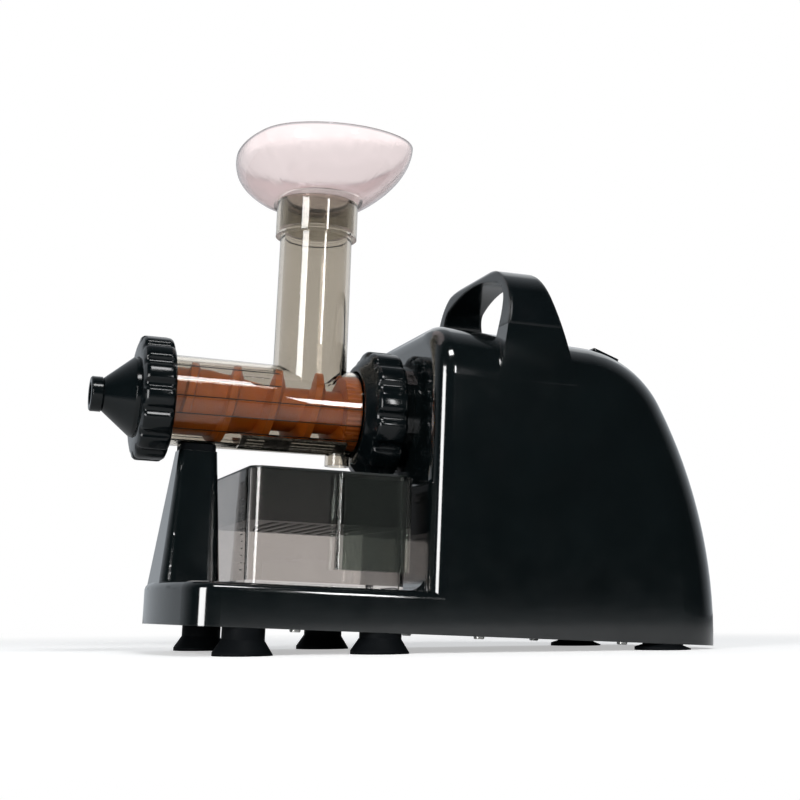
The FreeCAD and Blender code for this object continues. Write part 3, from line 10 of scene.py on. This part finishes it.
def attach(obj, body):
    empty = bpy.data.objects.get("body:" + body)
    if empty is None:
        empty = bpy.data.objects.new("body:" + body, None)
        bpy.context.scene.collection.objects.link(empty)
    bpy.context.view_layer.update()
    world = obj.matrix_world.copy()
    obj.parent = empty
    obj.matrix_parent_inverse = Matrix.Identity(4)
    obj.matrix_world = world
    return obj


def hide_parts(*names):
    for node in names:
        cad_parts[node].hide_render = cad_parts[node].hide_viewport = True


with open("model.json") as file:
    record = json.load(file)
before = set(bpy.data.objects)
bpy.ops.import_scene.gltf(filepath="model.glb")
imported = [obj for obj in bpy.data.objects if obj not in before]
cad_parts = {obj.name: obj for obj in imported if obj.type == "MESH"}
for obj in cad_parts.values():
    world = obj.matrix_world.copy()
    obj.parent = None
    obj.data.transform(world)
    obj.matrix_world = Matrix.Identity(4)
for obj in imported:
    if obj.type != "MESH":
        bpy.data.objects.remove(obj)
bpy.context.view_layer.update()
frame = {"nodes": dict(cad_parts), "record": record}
nodes = frame["nodes"]
MM = 0.001

# The machine's own frame: x from the nozzle to the motor, z up the chute. Its origin is
# where the chute meets the barrel's axis, and it leans because the feet differ in height.
LEAN = math.radians(2.63)
CHUTE_X = -62.73
STAND = 159.88
MACHINE = (Matrix.Translation(Vector((CHUTE_X, 0, STAND)) * MM)
           @ Matrix.Rotation(LEAN, 4, "Y"))
TURN = MACHINE.to_3x3()
ALONG = TURN @ Vector((1, 0, 0))
UP = TURN @ Vector((0, 0, 1))


def at(x, y, z):
    """A point given in millimetres in the machine's frame."""
    return MACHINE @ (Vector((x, y, z)) * MM)


def around(x, radius, angle):
    """A point at an angle around the barrel's axis, from the top towards the front."""
    return at(x, -radius * math.sin(angle), radius * math.cos(angle))


def span(node):
    """Lowest and highest corner of a node in millimetres in the machine's frame."""
    back = MACHINE.inverted()
    points = [back @ v.co / MM for v in nodes[node].data.vertices]
    return (Vector([min(p[i] for p in points) for i in range(3)]),
            Vector([max(p[i] for p in points) for i in range(3)]))


def make_camera():
    """The camera's place and turns in the machine's frame, fitted to the photograph."""
    yaw = math.radians(17.64)
    pitch = math.radians(8.68)
    roll = math.radians(2.22)
    forward = Vector((math.sin(yaw) * math.cos(pitch), math.cos(yaw) * math.cos(pitch),
                      math.sin(pitch)))
    right = Vector((math.cos(yaw), -math.sin(yaw), 0))
    up = right.cross(forward)
    rolled_right = right * math.cos(roll) + up * math.sin(roll)
    rolled_up = -right * math.sin(roll) + up * math.cos(roll)
    turn = TURN @ Matrix((rolled_right, rolled_up, -forward)).transposed()
    data = bpy.data.cameras.new("camera")
    data.lens = 68.0
    data.sensor_width = 36.0
    data.clip_start = 0.05
    camera = bpy.data.objects.new("camera", data)
    bpy.context.collection.objects.link(camera)
    camera.location = at(-246.78, -979.92, -143.77)
    camera.rotation_mode = "QUATERNION"
    camera.rotation_quaternion = turn.to_quaternion()
    bpy.context.scene.camera = camera


make_camera()


# Materials

def rgba(value):
    """A colour with full alpha, from a colour or from one number for a grey."""
    if isinstance(value, (int, float)):
        value = (value, value, value)
    return (*value, 1)


class Tree:
    """Short calls for a node tree."""

    def __init__(self, tree):
        self.tree = tree
        self.tree.nodes.clear()

    def add(self, kind, **settings):
        node = self.tree.nodes.new(kind)
        for key, value in settings.items():
            setattr(node, key, value)
        return node

    def link(self, source, target):
        self.tree.links.new(source, target)

    def rescale(self, source, low, high, **settings):
        """0 to 1 as the source goes from low to high."""
        node = self.add("ShaderNodeMapRange", **settings)
        node.inputs["From Min"].default_value = low
        node.inputs["From Max"].default_value = high
        self.link(source, node.inputs["Value"])
        return node.outputs["Result"]

    def ramp(self, source, low, high, start=0.3, stop=0.7):
        """A colour or value that goes from low to high between two values of the source."""
        node = self.add("ShaderNodeValToRGB")
        ends = node.color_ramp.elements
        ends[0].position = start
        ends[1].position = stop
        ends[0].color = rgba(low)
        ends[1].color = rgba(high)
        self.link(source, node.inputs["Fac"])
        return node.outputs["Color"]

    def glow(self, kind, strength):
        """A white emission or background."""
        node = self.add(kind)
        node.inputs["Color"].default_value = rgba(1.0)
        node.inputs["Strength"].default_value = strength
        return node.outputs[0]

    def shown(self):
        """1 for rays from the camera or through clear plastic, and 0 for all others."""
        path = self.add("ShaderNodeLightPath")
        either = self.add("ShaderNodeMath", operation="MAXIMUM")
        self.link(path.outputs["Is Camera Ray"], either.inputs[0])
        self.link(path.outputs["Is Transmission Ray"], either.inputs[1])
        return either.outputs[0]

    def blend(self, factor, first, second):
        """A shader between two shaders."""
        node = self.add("ShaderNodeMixShader")
        self.link(factor, node.inputs[0])
        self.link(first, node.inputs[1])
        self.link(second, node.inputs[2])
        return node.outputs[0]


class Surface(Tree):
    """A material with one Principled shader."""

    def __init__(self, name):
        self.name = name
        self.material = bpy.data.materials.new(name)
        self.material.use_nodes = True
        super().__init__(self.material.node_tree)
        self.out = self.add("ShaderNodeOutputMaterial")
        self.shader = self.add("ShaderNodeBsdfPrincipled")
        self.link(self.shader.outputs["BSDF"], self.out.inputs["Surface"])
        self.coordinates = self.add("ShaderNodeTexCoord").outputs["Object"]

    def set(self, **values):
        """Constant values; an underscore stands for a space in the socket's name."""
        for key, value in values.items():
            self.shader.inputs[key.replace("_", " ")].default_value = value

    def drive(self, socket, source):
        self.link(source, self.shader.inputs[socket])

    def noise(self, scale, detail=2.0, stretch=(1, 1, 1)):
        mapping = self.add("ShaderNodeMapping")
        mapping.inputs["Scale"].default_value = stretch
        self.link(self.coordinates, mapping.inputs["Vector"])
        texture = self.add("ShaderNodeTexNoise")
        texture.inputs["Scale"].default_value = scale
        texture.inputs["Detail"].default_value = detail
        self.link(mapping.outputs["Vector"], texture.inputs["Vector"])
        return texture.outputs["Fac"]

    def height(self, low, high):
        """0 to 1 between two heights in millimetres in the machine's frame."""
        dot = self.add("ShaderNodeVectorMath", operation="DOT_PRODUCT")
        dot.inputs[1].default_value = UP
        self.link(self.coordinates, dot.inputs[0])
        return self.rescale(dot.outputs["Value"], at(0, 0, low).dot(UP),
                            at(0, 0, high).dot(UP))

    def mix(self, factor, first, second):
        """A colour between two, each a colour or another node's output."""
        node = self.add("ShaderNodeMix", data_type="RGBA")
        self.link(factor, node.inputs["Factor"])
        for socket, value in ((node.inputs["A"], first), (node.inputs["B"], second)):
            if isinstance(value, bpy.types.NodeSocket):
                self.link(value, socket)
            else:
                socket.default_value = rgba(value)
        return node.outputs["Result"]

    def bump(self, source, strength, distance, rounding=0.0):
        """Fine relief, on edges rounded in the shading where a rounding is given."""
        bump = self.add("ShaderNodeBump")
        bump.inputs["Strength"].default_value = strength
        bump.inputs["Distance"].default_value = distance
        self.link(source, bump.inputs["Height"])
        if rounding:
            bevel = self.add("ShaderNodeBevel", samples=4)
            bevel.inputs["Radius"].default_value = rounding
            self.link(bevel.outputs["Normal"], bump.inputs["Normal"])
        self.drive("Normal", bump.outputs["Normal"])


def moulded(name, colour, rough, spread=0.06, grain=900.0, lift=0.02, rounding=0.0008):
    """Moulded plastic: slight mottling, uneven gloss, fine orange peel, soft edges."""
    m = Surface(name)
    dark = [c * 0.85 for c in colour]
    light = [min(1.0, c * 1.15) for c in colour]
    m.drive("Base Color", m.ramp(m.noise(35), dark, light))
    m.drive("Roughness", m.ramp(m.noise(60, 4.0), rough - spread / 2, rough + spread / 2))
    m.bump(m.noise(grain, 1.0), lift, 0.0002, rounding)
    return m


def clear_plastic(name, tint, rough=0.02, ior=1.46, shine=0.3):
    """Clear plastic: a tint that hardly varies, faint smears and a faintly wavy face."""
    m = Surface(name)
    m.set(Transmission_Weight=1.0, IOR=ior, Specular_IOR_Level=shine)
    dark = [c * 0.97 for c in tint]
    m.drive("Base Color", m.ramp(m.noise(20), dark, tint))
    m.drive("Roughness", m.ramp(m.noise(90, 3.0), rough * 0.6, rough * 1.6))
    m.bump(m.noise(260, 1.0), 0.02, 0.0003)
    return m


def bowl_plastic():
    """The bowl's pale rosy plastic, with a smoky neck and a greyer rim."""
    rosy, rim, neck = (0.80, 0.70, 0.70), (0.42, 0.40, 0.41), (0.50, 0.48, 0.43)
    m = clear_plastic("hopper_clear", rosy, rough=0.10, ior=1.35, shine=0.2)
    low, high = span("hopper")
    neck_length, neck_fade = 20.0, 1.5
    neck_top = low.z + neck_length
    body = m.mix(m.height(neck_top - neck_fade, neck_top + neck_fade), neck, rosy)
    at_rim = m.height(high.z - 1.6, high.z - 1.0)
    m.drive("Base Color", m.mix(at_rim, body, rim))
    return m


def jug_plastic():
    """The jug's grey plastic, with painted shade in the box grip that stands out of its front.
    """
    # Painted shade: the grip is the same plastic as the jug, given a darker colour where it
    # looks darker.
    grey, grip_shade = (0.61, 0.58, 0.56), (0.31, 0.34, 0.315)
    front_wall, fade = -70.0 * MM, 0.5 * MM
    m = clear_plastic("jug_clear", grey)
    split = m.add("ShaderNodeSeparateXYZ")
    m.link(m.coordinates, split.inputs[0])
    # Mask of the painted shade: 1 in the box grip in front of the jug's front wall.
    grip_shade_mask = m.rescale(split.outputs["Y"], front_wall + fade, front_wall - fade)
    m.drive("Base Color", m.mix(grip_shade_mask, grey, grip_shade))
    return m


def metal(name, colour, rough, stretch=(1, 1, 1)):
    """Metal with fine marks, drawn out along one axis where a stretch is given."""
    m = Surface(name)
    m.set(Metallic=1.0)
    dark = [c * 0.85 for c in colour]
    m.drive("Base Color", m.ramp(m.noise(300, 3.0, stretch), dark, colour))
    m.drive("Roughness", m.ramp(m.noise(500, 2.0, stretch), rough * 0.7, rough * 1.3))
    m.bump(m.noise(700, 2.0, stretch), 0.05, 0.0002)
    return m


BLACK_TRIM = (0.0022, 0.0038, 0.0044)


def make_materials():
    """A finish for each material slot of the record."""
    housing = moulded("black_housing", (0.0026, 0.0044, 0.0048), 0.10)
    housing.set(IOR=1.5, Coat_Weight=0.8, Coat_Roughness=0.04)
    trim = moulded("black_trim", BLACK_TRIM, 0.13)
    trim.set(IOR=1.45, Specular_IOR_Level=0.35)
    rubber = moulded("black_rubber", (0.004, 0.005, 0.006), 0.6, spread=0.15, grain=1500,
                     lift=0.12)
    rubber.set(Specular_IOR_Level=0.05)
    surfaces = (
        housing, trim, rubber,
        clear_plastic("smoky_clear", (0.61, 0.575, 0.52)),
        bowl_plastic(),
        jug_plastic(),
        moulded("strainer_grey", (0.003, 0.006, 0.005), 0.35),
        moulded("orange_auger", (0.60, 0.150, 0.010), 0.40),
        metal("steel", (0.62, 0.62, 0.60), 0.3, stretch=(1, 8, 8)),
        metal("cast_alloy", (0.6, 0.6, 0.61), 0.45),
        metal("winding_copper", (0.65, 0.28, 0.12), 0.35, stretch=(1, 12, 1)),
        moulded("gear_nylon", (0.72, 0.71, 0.66), 0.45),
    )
    return {surface.name: surface.material for surface in surfaces}


MATERIALS = make_materials()


def dress_nodes():
    """Each node in its slot's finish, and the handle in one with softer edges."""
    slot_of = {row["node"]: row["material_slot"] for row in frame["record"]["subparts"]}
    for name, thing in nodes.items():
        thing.data.materials.clear()
        thing.data.materials.append(MATERIALS[slot_of[name]])
    handle = moulded("black_handle", BLACK_TRIM, 0.14, rounding=0.0032)
    handle.set(IOR=1.5, Coat_Weight=0.3, Coat_Roughness=0.05)
    nodes["carry_handle"].data.materials[0] = handle.material


dress_nodes()


# Pieces modelled here

CREASE = math.radians(35)


def piece(name, points, faces, slot, body):
    """A mesh that rides on a body, smooth but for edges sharper than the crease."""
    mesh = bpy.data.meshes.new(name)
    mesh.from_pydata(points, [], faces)
    mesh.polygons.foreach_set("use_smooth", [True] * len(mesh.polygons))
    mesh.set_sharp_from_angle(angle=CREASE)
    mesh.materials.append(MATERIALS[slot])
    thing = bpy.data.objects.new(name, mesh)
    bpy.context.collection.objects.link(thing)
    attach(thing, body)
    return thing


def wavy_ring(name, slot, body, count, steps_each, wave, profile):
    """A ring around the barrel's axis with a number of crests.

    The profile is a closed line of points with x, the radius in a groove and the radius
    on a crest. The wave turns a phase, one turn a crest, into a share of the way up.
    """
    steps = count * steps_each
    rings = len(profile)
    points, faces = [], []
    for step in range(steps):
        angle = 2 * math.pi * step / steps
        rise = wave(count * angle)
        points += [around(x, groove + (crest - groove) * rise, angle)
                   for x, groove, crest in profile]
        here = step * rings
        ahead = (step + 1) % steps * rings
        for ring in range(rings):
            after = (ring + 1) % rings
            faces.append((here + ring, ahead + ring, ahead + after, here + after))
    return piece(name, points, faces, slot, body)


def lobe(phase):
    """A broad crowned lobe with a narrow groove beside it."""
    groove_start, groove_width, crown = 0.66, 0.31, 0.42
    away = (1 - math.cos(phase)) / 2
    share = min(1.0, max(0.0, (away - groove_start) / groove_width))
    into_groove = share * share * (3 - 2 * share)
    return (1 - into_groove) * (1 - crown * away * away)


def lobed_nut(node, body, count, profile):
    """A lobed nut in the place of a plain one."""
    nut = wavy_ring(node + "_lobed", "black_trim", body, count, 18, lobe, profile)
    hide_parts(node)


def make_end_nut():
    low, high = span("end_nut")
    left, right, crest = low.x, high.x, high.y
    groove = crest - 2.9
    lip, bore = 26.58, 30.08
    inner_step = left + 2.95
    lobed_nut("end_nut", "end_nut_ring", 15, [
        (left, lip, lip), (left, groove - 3.4, groove - 3.4),
        (left + 0.5, groove - 2.0, groove - 1.4), (left + 1.4, groove - 0.7, crest - 1.3),
        (left + 2.8, groove, crest - 0.2), (left + 4.0, groove, crest),
        (right - 4.0, groove, crest), (right - 2.6, groove, crest - 0.2),
        (right - 1.2, groove - 0.6, crest - 1.3), (right - 0.3, groove - 1.6, groove - 0.6),
        (right, groove - 2.6, groove - 2.4), (right, bore, bore),
        (inner_step, bore, bore), (inner_step, lip, lip)])


def make_lock_nut():
    low, high = span("lock_nut")
    left, right, crest = low.x, high.x, high.y
    groove = crest - 3.0
    lip, bore = 29.95, 36.08
    grips = left + 6
    inner_step = grips + 0.95
    lobed_nut("lock_nut", "lock_nut_ring", 13, [
        (left, lip, lip), (left, 32.8, 32.8), (left + 0.5, 33.6, 33.6),
        (grips - 0.6, 38.6, 38.6), (grips, 40.0, 41.0), (grips + 1.0, groove - 0.8, crest - 1.4),
        (grips + 2.4, groove, crest - 0.2), (grips + 3.8, groove, crest),
        (right - 3.8, groove, crest), (right - 2.4, groove, crest - 0.2),
        (right - 1.0, groove - 0.8, crest - 1.4), (right, groove - 2.0, crest - 3.4),
        (right, bore, bore), (inner_step, bore, bore), (inner_step, lip, lip)])


def rib(phase):
    """A round rib with a groove of the same width beside it."""
    return 0.5 + 0.5 * math.cos(phase)


def make_auger_drum():
    """The ribbed drum at the auger's drive end."""
    left, right, bore = 20.5, 31.0, 15.0
    wavy_ring("auger_drum", "orange_auger", "auger_set", 48, 6, rib, [
        (left, bore, bore), (left, 24.4, 25.2), (left + 0.5, 24.8, 25.7),
        (right - 0.5, 24.8, 25.7), (right, 24.4, 25.2), (right, bore, bore)])


def add_bar(points, faces, first_end, last_end):
    """Add a bar between two ends of four points each."""
    first = len(points)
    points += first_end + last_end
    faces += [tuple(first + corner for corner in face) for face in (
        (0, 1, 2, 3), (7, 6, 5, 4), (0, 4, 5, 1), (1, 5, 6, 2), (2, 6, 7, 3), (3, 7, 4, 0))]


def barrel_lines(name, turns, left, right):
    """Fine ribs in the barrel's bore, clear of the auger's flight, one at each angle."""
    inner, outer, half_width = 26.2, 26.5, 0.3
    lean = half_width / outer
    points, faces = [], []
    for angle in turns:
        ends = [[around(x, inner, angle - lean), around(x, outer, angle - lean),
                 around(x, outer, angle + lean), around(x, inner, angle + lean)]
                for x in (left, right)]
        add_bar(points, faces, *ends)
    piece(name, points, faces, "strainer_grey", "barrel")


def make_barrel_lines():
    """Ribs all around to the left of the chute, and none in its opening."""
    left_end, chute_left, right_end = -108, -25, 33
    turns = [math.radians(18 + 24 * i) for i in range(15)]
    barrel_lines("barrel_lines", turns, left_end, chute_left)
    low_turns = [turn for turn in turns if math.cos(turn) < 0.35]
    barrel_lines("barrel_lines_right", low_turns, chute_left, right_end)


def make_jug_ticks():
    """Plain marks of volume on the jug's left wall, near its front corner."""
    count, top, pitch, long_every = 11, -66, 4.4, 5
    front_end, short_end, long_end = -52, -48.5, -45.5
    outside_jug = -90
    half_height, outward, inward = UP * 0.28 * MM, ALONG * -0.15 * MM, ALONG * 0.1 * MM
    wall = nodes["juice_jug"]
    points, faces = [], []
    for step in range(count):
        z = top - pitch * step
        ends = []
        for y in (front_end, short_end if step % long_every else long_end):
            place = wall.ray_cast(at(outside_jug, y, z), ALONG)[1]
            ends.append([place + outward - half_height, place + outward + half_height,
                         place + inward + half_height, place + inward - half_height])
        add_bar(points, faces, *ends)
    piece("jug_ticks", points, faces, "strainer_grey", "jug")


make_end_nut()
make_lock_nut()
make_barrel_lines()
make_auger_drum()
make_jug_ticks()


# Stage and light

def make_floor():
    """A white floor that glows white away from the object and keeps its shadow near it."""
    reach = 30.0
    mesh = bpy.data.meshes.new("floor")
    mesh.from_pydata([(-reach, -reach, 0), (reach, -reach, 0), (reach, reach, 0),
                      (-reach, reach, 0)], [], [(0, 1, 2, 3)])
    floor = bpy.data.objects.new("floor", mesh)
    bpy.context.collection.objects.link(floor)
    m = Surface("floor_white")
    m.set(Roughness=0.9, Specular_IOR_Level=0.1)
    m.drive("Base Color", m.ramp(m.noise(3), 0.80, 0.83))
    plain = m.shader.outputs[0]
    lit = m.add("ShaderNodeAddShader")
    m.link(plain, lit.inputs[0])
    m.link(m.glow("ShaderNodeEmission", 0.45), lit.inputs[1])
    distance = m.add("ShaderNodeVectorMath", operation="LENGTH")
    m.link(m.coordinates, distance.inputs[0])
    far = m.rescale(distance.outputs["Value"], 0.32, 0.8, interpolation_type="SMOOTHSTEP")
    white = m.glow("ShaderNodeEmission", 1.0)
    seen = m.blend(far, lit.outputs[0], white)
    m.link(m.blend(m.shown(), plain, seen), m.out.inputs["Surface"])
    floor.data.materials.append(m.material)


def make_world():
    """White to look at, and else a dark room with a paler backdrop behind the object."""
    world = bpy.data.worlds.new("studio")
    bpy.context.scene.world = world
    world.use_nodes = True
    w = Tree(world.node_tree)
    out = w.add("ShaderNodeOutputWorld")
    split = w.add("ShaderNodeSeparateXYZ")
    w.link(w.add("ShaderNodeTexCoord").outputs["Generated"], split.inputs[0])
    depth = w.rescale(split.outputs["Y"], -1.0, 1.0)
    room = w.add("ShaderNodeBackground")
    w.link(w.ramp(depth, (0.018, 0.022, 0.025), (0.42, 0.45, 0.48), 0.42, 0.80),
           room.inputs["Color"])
    white = w.glow("ShaderNodeBackground", 1.0)
    w.link(w.blend(w.shown(), room.outputs[0], white), out.inputs["Surface"])


def area_light(name, place, width, height, watts):
    """A soft box that faces the object."""
    aim = Vector((-0.03, 0, 0.17))
    data = bpy.data.lights.new(name, "AREA")
    data.shape = "RECTANGLE"
    data.size = width
    data.size_y = height
    data.energy = watts
    lamp = bpy.data.objects.new(name, data)
    bpy.context.collection.objects.link(lamp)
    lamp.location = place
    lamp.rotation_mode = "QUATERNION"
    lamp.rotation_quaternion = (aim - lamp.location).to_track_quat("-Z", "Y")


def make_lights():
    area_light("left_box", (-1.27, -1.12, 0.44), 0.55, 0.85, watts=20)
    area_light("right_strip", (0.45, -1.60, 0.68), 0.14, 0.34, watts=4)
    area_light("top_box", (0.0, -0.99, 1.44), 0.62, 0.30, watts=11)
    area_light("back_box", (0.65, 1.45, 1.35), 1.6, 1.0, watts=2.2)


make_floor()
make_world()
make_lights()
bpy.context.scene.view_settings.view_transform = "Standard"
